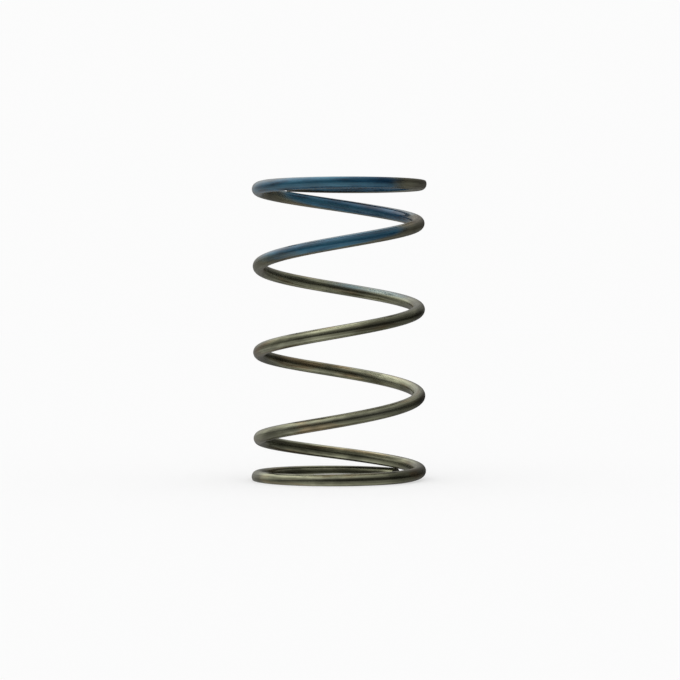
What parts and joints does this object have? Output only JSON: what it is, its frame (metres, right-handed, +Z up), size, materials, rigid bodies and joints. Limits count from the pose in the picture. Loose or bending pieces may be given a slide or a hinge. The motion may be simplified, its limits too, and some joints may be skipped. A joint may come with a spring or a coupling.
{
  "type": "helical compression spring",
  "caption": "Right-hand wound compression spring of round steel wire, closed ends ground flat, open coils between, upper coils lacquered blue.",
  "frame": {"origin": "on the coil axis, in the plane of the bottom ground face", "axes": "+Z up along the coil axis; the wire climbs anticlockwise seen from above; the bottom tip is at 45 degrees from +X towards +Y"},
  "size_m": [0.0486, 0.0486, 0.0824],
  "materials": {
    "drawn_wire": "bare drawn spring wire, oiled, olive grey",
    "blue_lacquer": "thin glossy blue lacquer over drawn wire"
  },
  "bodies": {
    "bottom_end": {"bottom_end_coil": "drawn_wire"},
    "coil_1_left": {"coil_1_left": "drawn_wire"},
    "coil_1_right": {"coil_1_right": "drawn_wire"},
    "coil_2_left": {"coil_2_left": "drawn_wire"},
    "coil_2_right": {"coil_2_right": "drawn_wire"},
    "coil_3_left": {"coil_3_left": "drawn_wire"},
    "coil_3_right": {"coil_3_right": "blue_lacquer"},
    "top_end": {"top_end_coil": "blue_lacquer"}
  },
  "joints": [
    {"name": "compression", "type": "slide", "parent": "bottom_end", "child": "top_end", "axis": [0, 0, -1], "range_m": [0, 0.05], "stiffness_N_per_m": 5400},
    {"name": "coil_1_left_tilt", "type": "hinge", "parent": "bottom_end", "child": "coil_1_left", "pos_m": [0, 0.022, 0.00577], "axis": [1, 0, 0], "range_deg": [0, 10.8]},
    {"name": "coil_1_right_tilt", "type": "hinge", "parent": "coil_1_left", "child": "coil_1_right", "pos_m": [0, -0.022, 0.01735], "axis": [1, 0, 0], "range_deg": [-21.5, 0]},
    {"name": "coil_2_left_tilt", "type": "hinge", "parent": "coil_1_right", "child": "coil_2_left", "pos_m": [0, 0.022, 0.02922], "axis": [1, 0, 0], "range_deg": [0, 21.5]},
    {"name": "coil_2_right_tilt", "type": "hinge", "parent": "coil_2_left", "child": "coil_2_right", "pos_m": [0, -0.022, 0.0411], "axis": [1, 0, 0], "range_deg": [-21.5, 0]},
    {"name": "coil_3_left_tilt", "type": "hinge", "parent": "coil_2_right", "child": "coil_3_left", "pos_m": [0, 0.022, 0.05297], "axis": [1, 0, 0], "range_deg": [0, 21.5]},
    {"name": "coil_3_right_tilt", "type": "hinge", "parent": "coil_3_left", "child": "coil_3_right", "pos_m": [0, -0.022, 0.06485], "axis": [1, 0, 0], "range_deg": [-21.5, 0]}
  ],
  "couplings": [
    {"joint": "coil_1_left_tilt", "follows": "compression", "rad_per_m": 3.727},
    {"joint": "coil_1_right_tilt", "follows": "compression", "rad_per_m": -7.454},
    {"joint": "coil_2_left_tilt", "follows": "compression", "rad_per_m": 7.454},
    {"joint": "coil_2_right_tilt", "follows": "compression", "rad_per_m": -7.454},
    {"joint": "coil_3_left_tilt", "follows": "compression", "rad_per_m": 7.454},
    {"joint": "coil_3_right_tilt", "follows": "compression", "rad_per_m": -7.454}
  ]
}
